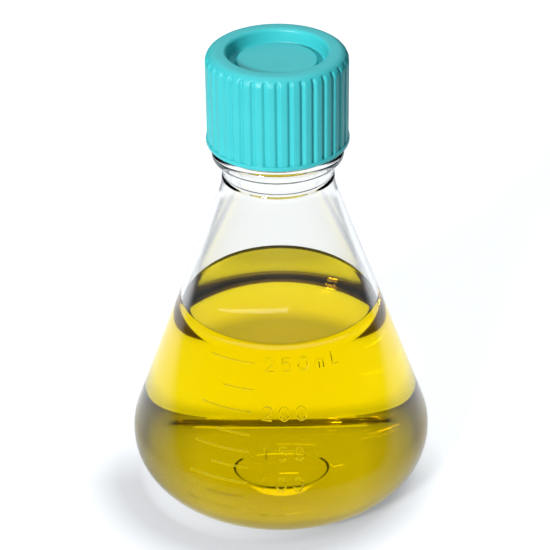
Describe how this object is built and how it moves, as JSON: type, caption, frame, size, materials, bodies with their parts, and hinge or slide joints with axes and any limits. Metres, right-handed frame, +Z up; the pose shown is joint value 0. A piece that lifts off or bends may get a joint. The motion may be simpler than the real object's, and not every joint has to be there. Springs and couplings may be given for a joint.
{
  "type": "erlenmeyer flask",
  "caption": "Clear moulded conical flask with a ribbed turquoise screw cap, raised graduations and a golden liquid inside.",
  "frame": {"origin": "centre of the base, on the surface that the flask stands on", "axes": "+Z up along the flask's axis, -Y towards the graduations, +X to their right"},
  "size_m": [0.092, 0.092, 0.143],
  "materials": {
    "clear_plastic": "crystal-clear moulded copolyester with a smooth gloss surface",
    "turquoise_plastic": "turquoise moulded polypropylene with a soft satin surface",
    "white_silicone": "white soft silicone sheet",
    "golden_liquid": "clear golden-yellow aqueous liquid"
  },
  "bodies": {
    "flask": {"flask_body": "clear_plastic", "liquid_fill": "golden_liquid"},
    "liner": {"sealing_liner": "white_silicone"},
    "cap": {"screw_cap": "turquoise_plastic"}
  },
  "joints": [
    {"name": "cap_rise", "type": "slide", "parent": "flask", "child": "liner", "axis": [0, 0, 1], "range_m": [0, 0.0254]},
    {"name": "cap_turn", "type": "hinge", "parent": "liner", "child": "cap", "pos_m": [0, 0, 0.1289], "axis": [0, 0, 1], "range_deg": [0, 2160]}
  ],
  "couplings": [
    {"joint": "cap_rise", "follows": "cap_turn", "m_per_rad": 0.00067375}
  ]
}
